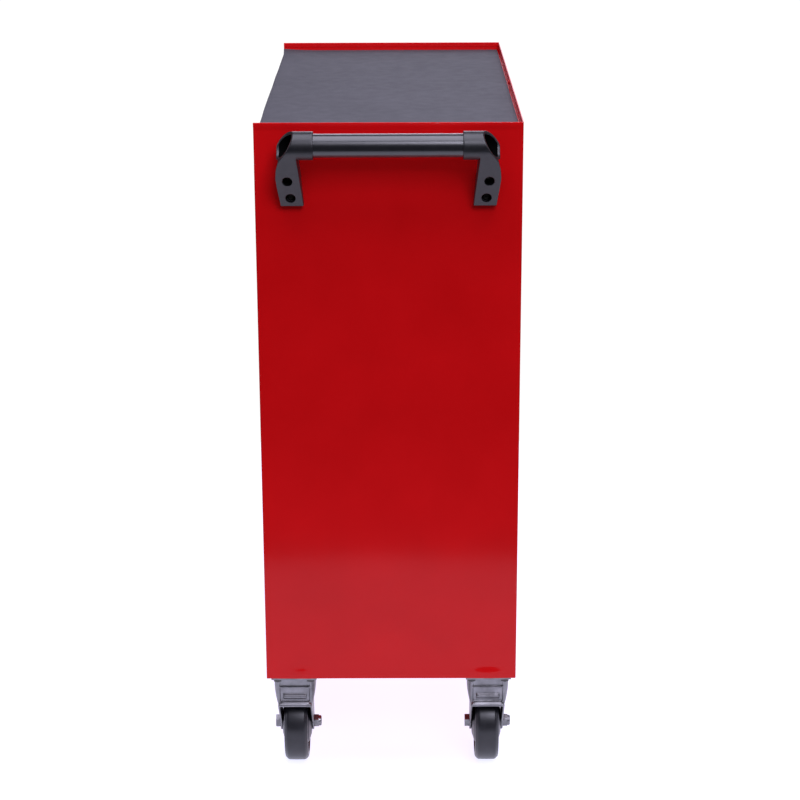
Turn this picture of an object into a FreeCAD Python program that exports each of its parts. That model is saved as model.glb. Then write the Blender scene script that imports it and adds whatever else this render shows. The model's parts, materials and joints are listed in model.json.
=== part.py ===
"""Rolling tool cabinet with six drawers, a push handle on one end and four casters.

Frame: +Z up, +X towards the handle end, -Y towards the drawer fronts.
The origin is on the floor, under the centre of the whole cabinet's box.
All sizes are millimetres and come from the sheet "dims".
"""
import FreeCAD, Part
import math
import os
import Sketcher
from FreeCAD import Placement, Rotation, Vector

# The driving dimensions: alias, value, meaning.
DIMENSIONS = [
    ("body_width", 690, "cabinet length along X, over the end panels"),
    ("body_depth", 330, "cabinet depth along Y"),
    ("body_height", 742, "end panel height"),
    ("caster_height", 149, "floor to the cabinet's bottom"),
    ("sheet", 1, "steel sheet thickness"),
    ("rim_depth", 13, "rim top down to the top sheet"),
    ("hem_height", 6, "folded hem along the end panels' top"),
    ("hem_proud", 0.6, "hem's extra thickness"),
    ("flange_width", 22, "end panels' front flanges"),
    ("flange_return", 12, "return fold behind a front flange"),
    ("face_inset", 6, "drawer fronts behind the end panels' front edge"),
    ("fascia_height", 38, "fixed front rail under the top"),
    ("pan_rim", 22, "base pan's upturned rim"),
    ("back_fold", 15, "back panel's side folds"),
    ("rivet_radius", 3, "painted rivet head inside the back rim"),
    ("rivet_height", 1.5, "rivet head's height"),
    ("rivet_drop", 6.5, "rivet's centre below the rim's top"),
    ("mat_thickness", 2.5, "rubber mat on the top"),
    ("mat_front_gap", 6, "mat's front edge behind the cabinet's front"),
    ("mat_side_gap", 0.5, "mat's gap to the side rims"),
    ("mat_back_gap", 2, "mat's gap to the back rim, clear of the rivet head"),
    ("small_pitch", 92, "height taken by a shallow drawer"),
    ("large_pitch", 150, "height taken by a deep drawer"),
    ("drawer_gap", 1, "half of the gap between two fronts"),
    ("drawer_side_gap", 1.5, "front to end flange"),
    ("drawer_length", 300, "drawer box along Y"),
    ("front_depth", 12, "drawer front's folded depth"),
    ("box_lift", 3, "drawer box's bottom above its front's edge"),
    ("box_top_gap", 5, "drawer box's top below its front's edge"),
    ("slide_space", 11, "room for one drawer slide, each side"),
    ("slide_height", 35, "fixed slide member"),
    ("slide_wall", 1.2, "slide member's sheet"),
    ("runner_height", 24, "moving slide member"),
    ("runner_flange", 8.5, "moving member's width over its flanges"),
    ("channel_flange", 8.5, "fixed member's width over its flanges"),
    ("slide_rise", 45, "slide's centre above its drawer's lower edge"),
    ("upright_width", 17, "slide upright along Y"),
    ("upright_inset", 19.5, "slide uprights from the cabinet's front and back"),
    ("upright_gap", 2.5, "slide uprights to the end panels"),
    ("pull_height", 16, "aluminium pull"),
    ("pull_wall", 1.5, "pull's thickness"),
    ("pull_lip", 5, "height of the pull's front lip"),
    ("liner_thickness", 2, "drawer liner"),
    ("liner_gap", 1, "liner to drawer wall"),
    ("lock_x", 285, "lock's distance from the cabinet's middle"),
    ("lock_radius", 9, "lock housing flange"),
    ("lock_barrel", 8, "lock housing barrel's radius"),
    ("plug_radius", 6, "turning plug's radius"),
    ("running_gap", 0.05, "radial clearance of a turning fit"),
    ("cam_reach", 9, "cam's tip from the plug's axis"),
    ("bar_width", 20, "lock bar along X"),
    ("bar_wall", 2, "lock bar's thickness"),
    ("bar_lift", 8, "lock bar's travel"),
    ("hook_reach", 9, "lock bar's hooks along Y"),
    ("handle_stand", 45, "tube's centre off the end panel"),
    ("handle_drop", 20, "tube's centre below the rim's top"),
    ("tube_radius", 14.3, "handle tube's radius"),
    ("tube_wall", 1.5, "handle tube's wall"),
    ("tube_half", 132, "half of the handle tube's length, before its ends are cut at a slant"),
    ("collar_radius", 17.2, "bracket collar's radius"),
    ("collar_inner", 90, "collar's inner end from the middle"),
    ("collar_outer", 135, "collar's outer end from the middle"),
    ("screw_high", 66, "upper handle screw below the rim's top"),
    ("screw_low", 90, "lower handle screw below the rim's top"),
    ("screw_span_high", 122.5, "upper handle screw from the middle"),
    ("screw_span_low", 119.8, "lower handle screw from the middle"),
    ("screw_radius", 2.5, "handle screw's shank"),
    ("screw_head", 4.5, "handle screw's head radius"),
    ("screw_head_height", 2.8, "handle screw's head"),
    ("screw_well", 6, "radius of the well that hides a screw's head"),
    ("screw_floor", 6, "bracket material under a screw's head"),
    ("screw_nut", 8, "handle screw's nut across its flats"),
    ("screw_nut_height", 4, "handle screw's nut"),
    ("foot_depth", 10, "bracket's thickness at its foot"),
    ("foot_drop", 101.5, "bracket's foot below the rim's top"),
    ("caster_inset_x", 42, "swivel axis from the cabinet's end"),
    ("rigid_inset_x", 56, "rigid caster's middle from the cabinet's end"),
    ("caster_y", 129, "caster's distance from the middle"),
    ("trail", 28, "wheel axle behind the swivel axis"),
    ("wheel_radius", 53, "wheel"),
    ("tread_half", 15.8, "half of the tread's width"),
    ("hub_half", 19.6, "half of the hub's length"),
    ("hub_radius", 17, "hub's face radius"),
    ("fork_half", 20, "half of the fork's inner gap"),
    ("fork_wall", 2.8, "fork's plate"),
    ("fork_flare", 27.4, "half of the fork's width over its shoulders"),
    ("fork_top", 140, "swivel fork's top above the floor"),
    ("fork_skirt", 100.5, "lower edge of the fork's closed part"),
    ("fork_corner", 8, "round corners of the fork's closed part at its lower edge"),
    ("fork_eye", 12, "fork leg's round end at the axle"),
    ("back_opening", 10, "height of the opening in the fork's back above its lower edge"),
    ("fork_radius", 30, "fork's crown radius"),
    ("axle_radius", 5, "axle bolt's shank"),
    ("head_height", 6.4, "axle bolt's head"),
    ("nut_height", 10, "axle nut"),
    ("hex_flat", 16, "axle bolt's head across its flats"),
    ("plate_length", 80, "caster plate along X"),
    ("plate_width", 60, "caster plate along Y"),
    ("plate_thickness", 3, "caster plate"),
    ("plate_hole_x", 33, "plate hole from its centre along X"),
    ("plate_hole_y", 22, "plate hole from its centre along Y"),
    ("plate_hole_radius", 3.3, "plate hole"),
    ("race_radius", 27, "upper ball race on the plate"),
    ("kingpin_radius", 6, "swivel pin"),
    ("barrel_length", 22, "lock housing's barrel behind the rail"),
    ("lock_proud", 1.4, "lock housing's flange before the rail"),
    ("hook_height", 8, "lock bar's hook, from its arm's underside to its tip"),
    ("hook_clearance", 3, "hook's tip below a catch's lip while unlocked"),
    ("bolt_radius", 3, "plate bolt's shank"),
    ("bolt_flat", 10, "plate bolt's head across its flats"),
    ("bolt_head", 4, "plate bolt's head height"),
    ("bolt_length", 14, "plate bolt's shank below its tip"),
    ("swivel_gap", 0.3, "gap between swivelling faces"),
]

# Drawers from the top down: each entry names the pitch that it takes.
DRAWER_PITCHES = ["small_pitch"] * 4 + ["large_pitch"] * 2
DRAWER_COUNT = len(DRAWER_PITCHES)
SIDES = (("right", 1), ("left", -1))
TURNS = {"z": Rotation(), "x": Rotation(Vector(0, 1, 0), 90), "y": Rotation(Vector(1, 0, 0), -90)}
CASTERS = (
    ("front_right", 1, -1, True),
    ("rear_right", 1, 1, True),
    ("front_left", -1, -1, False),
    ("rear_left", -1, 1, False),
)

doc = FreeCAD.newDocument("rolling_tool_cabinet")
sheet = doc.addObject("Spreadsheet::Sheet", "dims")
for row, (alias, value, meaning) in enumerate(DIMENSIONS, start=1):
    sheet.set(f"A{row}", alias)
    sheet.set(f"B{row}", str(value))
    sheet.set(f"C{row}", meaning)
    sheet.setAlias(f"B{row}", alias)
doc.recompute()

nodes = []


def size(alias):
    """A sheet value as a plain number."""
    return float(sheet.get(alias))


def cells(text):
    """An expression with each alias written as dims.alias."""
    word, out = "", []
    aliases = {alias for alias, value, meaning in DIMENSIONS}
    for letter in text + " ":
        if letter.isalnum() or letter == "_":
            word += letter
            continue
        out.append(f"dims.{word}" if word in aliases else word)
        out.append(letter)
        word = ""
    return "".join(out).strip()


# Places that several sub-parts share, as expressions.
MIDDLE_X = "(hem_proud - handle_stand - collar_radius) / 2"
BOTTOM = "caster_height"
RIM_TOP = "caster_height + body_height"
TOP_SHEET = "caster_height + body_height - rim_depth"
HALF_IN = "(body_width / 2 - sheet)"
HALF_DEEP = "(body_depth / 2)"
OPENING = "(body_width / 2 - flange_width - sheet)"
FACE_Y = "(face_inset - body_depth / 2)"
BOX_Y = "(face_inset - body_depth / 2 + front_depth)"
BOX_HALF = "(body_width / 2 - flange_width - sheet - slide_space)"
FRONT_HALF = "(body_width / 2 - flange_width - sheet - drawer_side_gap)"
HANDLE_Z = "caster_height + body_height - handle_drop"
HANDLE_SCREWS = (("screw_span_high", "screw_high"), ("screw_span_low", "screw_low"))


def drawer_low(index):
    """The lower edge of a drawer's space, as an expression; index 0 is the top drawer."""
    above = " + ".join(DRAWER_PITCHES[: index + 1])
    return f"({TOP_SHEET} - fascia_height - ({above}))"


def place(thing, x="0", y="0", z="0"):
    for axis, text in zip("xyz", (x, y, z)):
        thing.setExpression(f"Placement.Base.{axis}", cells(text))
    return thing


def keep(thing, label):
    """Marks an object as a sub-part: its label names its file."""
    thing.Label = label
    nodes.append(thing)
    return thing


def centred(thing, x="0", y="0", z="0"):
    """Places a sub-part that is drawn about the cabinet's own middle."""
    return place(thing, f"{MIDDLE_X} + {x}", y, z)


def new_body(label):
    return keep(doc.addObject("PartDesign::Body", label), label)


def sketch_on(body, plane, offset="0"):
    sketch = body.newObject("Sketcher::SketchObject", "outline")
    origin = [f for f in body.Origin.OriginFeatures if f.Role == plane][0]
    sketch.AttachmentSupport = [(origin, "")]
    sketch.MapMode = "FlatFace"
    sketch.setExpression("AttachmentOffset.Base.z", cells(offset))
    return sketch


def pin_point(sketch, edge, end, u, v):
    """Ties one sketch point to two expressions."""
    for kind, text in (("DistanceX", u), ("DistanceY", v)):
        index = sketch.addConstraint(Sketcher.Constraint(kind, -1, 1, edge, end, 1.0))
        sketch.setExpression(f"Constraints[{index}]", cells(text))


def polygon(sketch, points):
    """Draws a closed outline whose corners are expressions."""
    first, count = sketch.GeometryCount, len(points)
    ring = [Vector(math.cos(i), math.sin(i), 0) for i in (2 * math.pi * k / count for k in range(count))]
    for k in range(count):
        sketch.addGeometry(Part.LineSegment(ring[k], ring[(k + 1) % count]))
    for k in range(count):
        following = first + (k + 1) % count
        sketch.addConstraint(Sketcher.Constraint("Coincident", first + k, 2, following, 1))
    for k, (u, v) in enumerate(points):
        pin_point(sketch, first + k, 1, u, v)
    return sketch


def circles(sketch, centres, radius):
    for u, v in centres:
        edge = sketch.addGeometry(Part.Circle(Vector(1, 1, 0), Vector(0, 0, 1), 1))
        pin_point(sketch, edge, 3, u, v)
        index = sketch.addConstraint(Sketcher.Constraint("Radius", edge, 1.0))
        sketch.setExpression(f"Constraints[{index}]", cells(radius))
    return sketch


def rectangle(u0, v0, u1, v1):
    return [(u0, v0), (u1, v0), (u1, v1), (u0, v1)]


def pad(body, sketch, length, both=False):
    feature = body.newObject("PartDesign::Pad", "pad")
    feature.Profile = sketch
    feature.Midplane = both
    feature.setExpression("Length", cells(length))
    return feature


def pocket(body, sketch, length, flip=False, both=False):
    """Cuts, and makes sure that the cut removed something."""
    doc.recompute()
    before = body.Shape.Volume
    feature = body.newObject("PartDesign::Pocket", "pocket")
    feature.Profile = sketch
    feature.Reversed = flip
    feature.Midplane = both
    feature.setExpression("Length", cells(length))
    doc.recompute()
    if body.Shape.Volume > before - 1:
        raise RuntimeError(f"a pocket in {body.Label} cut nothing")
    return feature


def turn(body, sketch, axis):
    feature = body.newObject("PartDesign::Revolution", "turned")
    feature.Profile = sketch
    feature.ReferenceAxis = (sketch, [axis])
    feature.Angle = 360
    return feature


def block(low, high):
    """A box between two corners given as expressions."""
    box = doc.addObject("Part::Box", "block")
    for name, a, b in zip(("Length", "Width", "Height"), low, high):
        box.setExpression(name, cells(f"({b}) - ({a})"))
    return place(box, *low)


def cut(base, tool):
    result = doc.addObject("Part::Cut", "cut")
    result.Base, result.Tool = base, tool
    return result


def fuse(parts):
    result = doc.addObject("Part::MultiFuse", "joined")
    result.Shapes = parts
    return result


def group(parts, label):
    """Separate identical solids that share one node."""
    result = doc.addObject("Part::Compound", label)
    result.Links = parts
    return keep(result, label)


def post(radius, height, at, direction="z"):
    """A round bar from a point, along Z, X or Y."""
    cylinder = doc.addObject("Part::Cylinder", "post")
    cylinder.setExpression("Radius", cells(radius))
    cylinder.setExpression("Height", cells(height))
    cylinder.Placement = Placement(Vector(), TURNS[direction])
    return place(cylinder, *at)


def hexagon(flat, height, at, direction="z"):
    """A hexagonal bar from a point, along Z, X or Y."""
    prism = doc.addObject("Part::Prism", "hexagon")
    prism.Polygon = 6
    prism.setExpression("Circumradius", cells(f"({flat}) / sqrt(3)"))
    prism.setExpression("Height", cells(height))
    prism.Placement = Placement(Vector(), TURNS[direction])
    return place(prism, *at)


# ---------------------------------------------------------------- cabinet shell

def end_panel(side, sign):
    """An end panel: web, hem, front flange with its return fold."""
    body = new_body(f"side_panel_{side}")
    out, inner = f"{sign} * body_width / 2", f"{sign} * {HALF_IN}"
    edge = f"{sign} * {OPENING}"
    front, back = f"-{HALF_DEEP}", HALF_DEEP
    behind = f"(sheet - {HALF_DEEP})"
    web = rectangle(inner, front, out, back)
    pad(body, polygon(sketch_on(body, "XY_Plane"), web), "body_height")
    # The flange ends under the fixed rail; its return fold is notched for the base pan as well.
    flange_high = "(body_height - rim_depth - fascia_height - sheet)"
    flange = rectangle(edge, front, out, behind)
    pad(body, polygon(sketch_on(body, "XY_Plane"), flange), flange_high)
    fold = rectangle(edge, front, f"{edge} + {sign} * sheet", f"{behind} + flange_return")
    fold_low = "(pan_rim + sheet)"
    pad(body, polygon(sketch_on(body, "XY_Plane", fold_low), fold), f"{flange_high} - {fold_low}")
    hem = rectangle(f"{inner} + {sign} * sheet / 2", front, f"{out} + {sign} * hem_proud", back)
    pad(body, polygon(sketch_on(body, "XY_Plane", "body_height - hem_height"), hem), "hem_height")
    if sign > 0:
        holes = [
            (f"{hand} * {span}", f"body_height - {drop}")
            for hand in (-1, 1)
            for span, drop in HANDLE_SCREWS
        ]
        screws = circles(sketch_on(body, "YZ_Plane", "body_width / 2"), holes, "screw_radius + running_gap")
        pocket(body, screws, "3 * sheet", both=True)
    centred(body, z=BOTTOM)


def back_panel():
    """The back: a flat web with side folds; its top is the rear rim, with a painted rivet head inside."""
    body = new_body("back_panel")
    out, inner = HALF_DEEP, f"({HALF_DEEP} - sheet)"
    fold = f"({HALF_DEEP} - back_fold)"
    wide, thin = HALF_IN, f"({HALF_IN} - sheet)"
    outline = [
        (f"-{wide}", fold), (f"-{wide}", out), (wide, out), (wide, fold),
        (thin, fold), (thin, inner), (f"-{thin}", inner), (f"-{thin}", fold),
    ]
    low = "body_height - rim_depth - 2 * sheet"
    pad(body, polygon(sketch_on(body, "XY_Plane"), outline), low)
    web = rectangle(f"-{wide}", inner, wide, out)
    pad(body, polygon(sketch_on(body, "XY_Plane"), web), "body_height")
    rivet = circles(sketch_on(body, "XZ_Plane", f"-{inner}"),
                    [("0", "body_height - rivet_drop")], "rivet_radius")
    pad(body, rivet, "rivet_height")
    centred(body, z=BOTTOM)


def top_panel():
    """The top sheet, folded down at the front into the fixed rail that holds the lock."""
    body = new_body("top_panel")
    front, behind = FACE_Y, f"({FACE_Y} + sheet)"
    rear = f"({HALF_DEEP} - 1.2 * sheet)"
    low = "(-fascia_height)"
    outline = [
        (front, "0"), (rear, "0"), (rear, "-sheet"), (behind, "-sheet"),
        (behind, f"{low} + sheet"), (f"{behind} + flange_return", f"{low} + sheet"),
        (f"{behind} + flange_return", low), (front, low),
    ]
    pad(body, polygon(sketch_on(body, "YZ_Plane"), outline), f"2 * ({HALF_IN} - sheet / 5)", both=True)
    hole = circles(sketch_on(body, "XZ_Plane", f"-{FACE_Y}"),
                   [("lock_x", "-fascia_height / 2")], "lock_barrel + running_gap")
    pocket(body, hole, "3 * sheet", both=True)
    centred(body, z=TOP_SHEET)


def base_pan():
    """The bottom: a shallow pan with bolt holes for the casters."""
    body = new_body("base_pan")
    wide, deep = f"({HALF_IN} - 1.2 * sheet)", FACE_Y
    rear = f"({HALF_DEEP} - 1.2 * sheet)"
    outer = rectangle(f"-{wide}", deep, wide, rear)
    inner = rectangle(f"-{wide} + sheet", f"{deep} + sheet", f"{wide} - sheet", f"{rear} - sheet")
    pad(body, polygon(sketch_on(body, "XY_Plane"), outer), "pan_rim")
    pocket(body, polygon(sketch_on(body, "XY_Plane", "pan_rim"), inner), "pan_rim - sheet")
    centres = [(x, y) for x, y, along, across in plate_holes()]
    holes = circles(sketch_on(body, "XY_Plane", "sheet"), centres, "plate_hole_radius")
    pocket(body, holes, "2 * sheet")
    centred(body, z=BOTTOM)


def caster_centre(end, side):
    inset = "caster_inset_x" if end > 0 else "rigid_inset_x"
    return f"{end} * (body_width / 2 - {inset})", f"{side} * caster_y"


def plate_holes():
    """Each caster bolt's X and Y about the cabinet's middle, and its signs on its plate."""
    out = []
    for name, end, side, swivels in CASTERS:
        x, y = caster_centre(end, side)
        for along in (-1, 1):
            for across in (-1, 1):
                out.append((f"{x} + {along} * plate_hole_x", f"{y} + {across} * plate_hole_y", along, across))
    return out


def slide_uprights():
    """Four U-shaped posts that carry the slides, inside the end panels."""
    posts = []
    for sign in (1, -1):
        web, open_side = f"{sign} * {OPENING}", f"{sign} * ({HALF_IN} - upright_gap)"
        xs = (web, open_side)[::sign]
        hollow = (f"{web} + {sign} * sheet", f"{open_side} + {sign} * sheet")[::sign]
        for low_y in (f"upright_inset - {HALF_DEEP}", f"{HALF_DEEP} - upright_inset - upright_width - sheet"):
            high_y = f"{low_y} + upright_width"
            floor, roof = "pan_rim / 2", "body_height - rim_depth - 2 * sheet"
            solid = block((xs[0], low_y, floor), (xs[1], high_y, roof))
            room = block((hollow[0], f"{low_y} + sheet", "0"),
                         (hollow[1], f"{high_y} - sheet", "body_height"))
            posts.append(cut(solid, room))
    centred(group(posts, "slide_uprights"), z=BOTTOM)


def top_mat():
    keep(block(
        (f"{MIDDLE_X} - {HALF_IN} + mat_side_gap", f"mat_front_gap - {HALF_DEEP}", TOP_SHEET),
        (f"{MIDDLE_X} + {HALF_IN} - mat_side_gap", f"{HALF_DEEP} - sheet - mat_back_gap",
         f"{TOP_SHEET} + mat_thickness"),
    ), "top_mat")


# ---------------------------------------------------------------- drawers

def slide_z(index):
    return f"{drawer_low(index)} + slide_rise"


def channel(sign, low_y, index, inner_x, outer_x, tall, opening_in):
    """A C-shaped slide member; opening_in opens it towards the cabinet's middle."""
    centre = slide_z(index)
    low, high = f"{centre} - {tall} / 2", f"{centre} + {tall} / 2"
    xs = (inner_x, outer_x)[::sign]
    solid = block((xs[0], low_y, low), (xs[1], f"{low_y} + drawer_length", high))
    if opening_in:
        rooms = (f"{inner_x} - {sign} * sheet", f"{outer_x} - {sign} * slide_wall")[::sign]
    else:
        rooms = (f"{inner_x} + {sign} * slide_wall", f"{outer_x} + {sign} * sheet")[::sign]
    room = block((rooms[0], f"{low_y} - sheet", f"{low} + slide_wall"),
                 (rooms[1], f"{low_y} + drawer_length + sheet", f"{high} - slide_wall"))
    return cut(solid, room)


def fixed_slides():
    """The fixed slide members of every drawer, both sides."""
    members = []
    for index in range(DRAWER_COUNT):
        for sign in (1, -1):
            outer = f"{sign} * {OPENING}"
            inner = f"{sign} * ({OPENING} - channel_flange)"
            members.append(channel(sign, BOX_Y, index, inner, outer, "slide_height", True))
    centred(group(members, "drawer_slide_channels"))


def drawer(index):
    """One drawer: tray with its folded front, pull, liner and the two moving slide members."""
    number = index + 1
    low = drawer_low(index)
    tall = DRAWER_PITCHES[index]
    body = new_body(f"drawer_{number}_tray")
    face_low, face_high = "drawer_gap", f"({tall} - drawer_gap - pull_height)"
    wall_high = f"({tall} - drawer_gap - box_top_gap)"
    rear = f"({BOX_Y} + drawer_length)"
    outer = rectangle(f"-{BOX_HALF}", BOX_Y, BOX_HALF, rear)
    base = "(drawer_gap + box_lift)"
    pad(body, polygon(sketch_on(body, "XY_Plane", base), outer), f"{wall_high} - {base}")
    face = [
        (FACE_Y, face_low), (f"{BOX_Y} + sheet / 2", face_low),
        (f"{BOX_Y} + sheet / 2", f"{base} + sheet / 2"), (BOX_Y, f"{base} + sheet / 2"),
        (BOX_Y, f"{face_low} + sheet"),
        (f"{FACE_Y} + sheet", f"{face_low} + sheet"), (f"{FACE_Y} + sheet", face_high), (FACE_Y, face_high),
    ]
    pad(body, polygon(sketch_on(body, "YZ_Plane"), face), f"2 * {FRONT_HALF}", both=True)
    for sign in (1, -1):
        edge, inside = f"{sign} * {FRONT_HALF}", f"{sign} * ({FRONT_HALF} - sheet)"
        fold = rectangle(edge, FACE_Y, inside, BOX_Y)
        pad(body, polygon(sketch_on(body, "XY_Plane", face_low), fold), f"{face_high} - {face_low}")
    inner = rectangle(f"-{BOX_HALF} + sheet", f"{BOX_Y} + sheet", f"{BOX_HALF} - sheet", f"{rear} - sheet")
    depth = f"{wall_high} - {base} - sheet"
    pocket(body, polygon(sketch_on(body, "XY_Plane", wall_high), inner), depth)
    # The catch: a tab behind the box, whose lip hangs down before the lock bar's hook.
    catch_low, catch_high = "lock_x - bar_width / 2", "lock_x + bar_width / 2"
    lip_y = f"({rear} + bar_wall + 2 * sheet)"
    tab = rectangle(catch_low, rear, catch_high, f"{lip_y} + sheet")
    pad(body, polygon(sketch_on(body, "XY_Plane", "slide_rise"), tab), "sheet")
    lip = rectangle(catch_low, lip_y, catch_high, f"{lip_y} + sheet")
    lip_drop = "(bar_lift - 2 * sheet)"
    pad(body, polygon(sketch_on(body, "XY_Plane", f"slide_rise - {lip_drop}"), lip), lip_drop)
    centred(body, z=low)

    pull = new_body(f"drawer_{number}_pull")
    floor, top = face_high, f"({tall} - drawer_gap)"
    thick = "pull_wall"
    hook = [
        (FACE_Y, floor), (BOX_Y, floor), (BOX_Y, top), (f"{FACE_Y} + 3 * {thick}", top),
        (f"{FACE_Y} + 3 * {thick}", f"{top} - {thick}"), (f"{BOX_Y} - {thick}", f"{top} - {thick}"),
        (f"{BOX_Y} - {thick}", f"{floor} + {thick}"), (f"{FACE_Y} + {thick}", f"{floor} + {thick}"),
        (f"{FACE_Y} + {thick}", f"{floor} + pull_lip"), (FACE_Y, f"{floor} + pull_lip"),
    ]
    pad(pull, polygon(sketch_on(pull, "YZ_Plane"), hook), f"2 * {FRONT_HALF}", both=True)
    centred(pull, z=low)

    gap = "(sheet + liner_gap)"
    keep(block(
        (f"{MIDDLE_X} - {BOX_HALF} + {gap}", f"{BOX_Y} + {gap}", f"{low} + {base} + sheet"),
        (f"{MIDDLE_X} + {BOX_HALF} - {gap}", f"{rear} - {gap}", f"{low} + {base} + sheet + liner_thickness"),
    ), f"drawer_{number}_liner")

    members = []
    for sign in (1, -1):
        inner_x = f"{sign} * {BOX_HALF}"
        outer_x = f"{sign} * ({BOX_HALF} + runner_flange)"
        members.append(channel(sign, BOX_Y, index, inner_x, outer_x, "runner_height", False))
    centred(group(members, f"drawer_{number}_runners"))


# ---------------------------------------------------------------- lock

def lock():
    """Lock housing, turning plug with its long tail and cam, and the bar that it lifts."""
    z = f"{TOP_SHEET} - fascia_height / 2"
    bore = "plug_radius + running_gap"
    housing = new_body("lock_housing")
    ring = [
        (bore, "-barrel_length"), ("lock_barrel", "-barrel_length"), ("lock_barrel", "0"),
        ("lock_radius", "0"), ("lock_radius", "lock_proud"), (bore, "lock_proud"),
    ]
    turn(housing, polygon(sketch_on(housing, "XY_Plane"), ring), "V_Axis")
    face_down(housing, z)

    plug = new_body("lock_plug")
    tail, shaft = "(drawer_length + front_depth + bar_wall)", "plug_radius / 2"
    stem = [
        ("0", f"-({tail})"), (shaft, f"-({tail})"), (shaft, "-(barrel_length + sheet)"),
        ("plug_radius", "-(barrel_length + sheet)"), ("plug_radius", "sheet"), ("0", "sheet"),
    ]
    turn(plug, polygon(sketch_on(plug, "XY_Plane"), stem), "V_Axis")
    arm = rectangle("0", "-sheet * 2", "cam_reach", "sheet * 2")
    pad(plug, polygon(sketch_on(plug, "XZ_Plane", f"{tail} - bar_wall"), arm), "bar_wall")
    slot = rectangle("-sheet / 2", "-plug_radius / 2", "sheet / 2", "plug_radius / 2")
    pocket(plug, polygon(sketch_on(plug, "XZ_Plane", "-sheet"), slot), "3 * sheet", flip=True)
    face_down(plug, z)

    bar = new_body("lock_bar")
    wide = "bar_width / 2"
    near = f"({BOX_Y} + drawer_length + bar_wall + 4 * sheet)"
    bar_low = "(pan_rim + bar_lift)"
    foot_low = "(body_height - rim_depth - fascia_height / 2 + 2 * sheet + 5 * sheet / 2)"
    foot_high = f"({foot_low} + bar_wall)"
    strip = rectangle(f"-{wide}", near, wide, f"{near} + bar_wall")
    pad(bar, polygon(sketch_on(bar, "XY_Plane", bar_low), strip), f"{foot_high} - {bar_low}")
    foot = rectangle(f"2 * sheet - {wide}", f"{near} - 7 * sheet",
                     f"{wide} - 2 * sheet", f"{near} + bar_wall")
    pad(bar, polygon(sketch_on(bar, "XY_Plane", foot_low), foot), "bar_wall")
    finger, finger_back = f"{near} - hook_reach / 2 - bar_wall / 2", f"{near} - hook_reach / 2 + bar_wall / 4"
    for index in range(DRAWER_COUNT):
        # The hook's finger stands below the catch's lip until the bar lifts.
        tip = f"({drawer_low(index)} - {BOTTOM} + slide_rise - bar_lift + 2 * sheet - hook_clearance)"
        hook = [
            (f"{near} + bar_wall / 2", f"{tip} - hook_height"), (finger, f"{tip} - hook_height"),
            (finger, tip), (finger_back, tip), (finger_back, f"{tip} - hook_height + bar_wall"),
            (f"{near} + bar_wall / 2", f"{tip} - hook_height + bar_wall"),
        ]
        pad(bar, polygon(sketch_on(bar, "YZ_Plane"), hook), "bar_width - 4 * sheet", both=True)
    centred(bar, "lock_x", z=BOTTOM)


def face_down(thing, z):
    """Stands a piece that is turned about Y at the lock's place, its face to the front."""
    thing.Placement = Placement(Vector(), Rotation(Vector(0, 0, 1), 180))
    centred(thing, "lock_x", FACE_Y, z)


# ---------------------------------------------------------------- handle

def slant_tool(sign, clearance):
    """The space cut away from one end of the handle: two slanted faces that meet over the tube.

    The faces stand back from the bracket's slanted rim by the clearance. X and Z 0 are the tube's axis.
    """
    reach, far = 2 * size("collar_radius"), 2 * size("collar_outer")
    # Where the slant crosses the tube's top line, and how it leans along X before it, behind it, and along Z.
    middle, lean_front, lean_back, lean_up = 124.7 - clearance, 0.31, 0.54, 0.54
    plan = [
        Vector(reach, middle - lean_front * reach, 0), Vector(0, middle, 0),
        Vector(-reach, middle + lean_back * reach, 0), Vector(-reach, far, 0), Vector(reach, far, 0),
    ]
    tool = Part.Face(Part.makePolygon(plan + plan[:1]))
    tool.translate(Vector(0, lean_up * reach, -reach))
    tool = tool.extrude(Vector(0, -2 * lean_up * reach, 2 * reach))
    return tool if sign > 0 else tool.mirror(Vector(), Vector(0, 1, 0))


def handle_tube():
    """The push tube. Its open ends are cut at a slant, just inside the brackets' rims."""
    radius, half, wall = size("tube_radius"), size("tube_half"), size("tube_wall")
    start, along = Vector(0, -half, 0), Vector(0, 1, 0)
    shape = Part.makeCylinder(radius, 2 * half, start, along)
    shape = shape.cut(Part.makeCylinder(radius - wall, 2 * half, start, along))
    for sign in (1, -1):
        shape = shape.cut(slant_tool(sign, size("sheet")))
    feature = doc.addObject("Part::Feature", "handle_tube")
    feature.Shape = shape
    centred(keep(feature, "handle_tube"), "body_width / 2 + handle_stand", z=HANDLE_Z)


# The bracket's leg in level cuts: height above the foot, then its inner and outer edges along Y.
LEG_LEVELS = (
    (0, 104.2, 132.5),
    (12, 105.0, 133.9),
    (27, 106.5, 135.8),
    (40, 107.6, 136.8),
    (52, 108.6, 135.6),
    (63, 109.8, 132.4),
    (72, 110.6, 131.0),
    (92, 112.0, 128.0),
)


def strut_outline():
    """The leg from the side, in X and Z: its front and back faces run tangent to the collar."""
    stand, ring = size("handle_stand"), size("collar_radius")
    foot = size("handle_drop") - size("foot_drop")
    tangents = []
    for start_x, start_z, side in ((size("foot_depth"), foot, 1), (0, foot / 2, -1)):
        distance = math.hypot(stand - start_x, start_z)
        heading = math.atan2(-start_z, stand - start_x) - side * math.asin(ring / distance)
        length = math.sqrt(distance ** 2 - ring ** 2)
        tangents.append((start_x + length * math.cos(heading), start_z + length * math.sin(heading)))
    front, back = tangents
    return [(0, foot), (size("foot_depth"), foot), front, (stand, 0), back, (0, foot / 2)]


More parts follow.
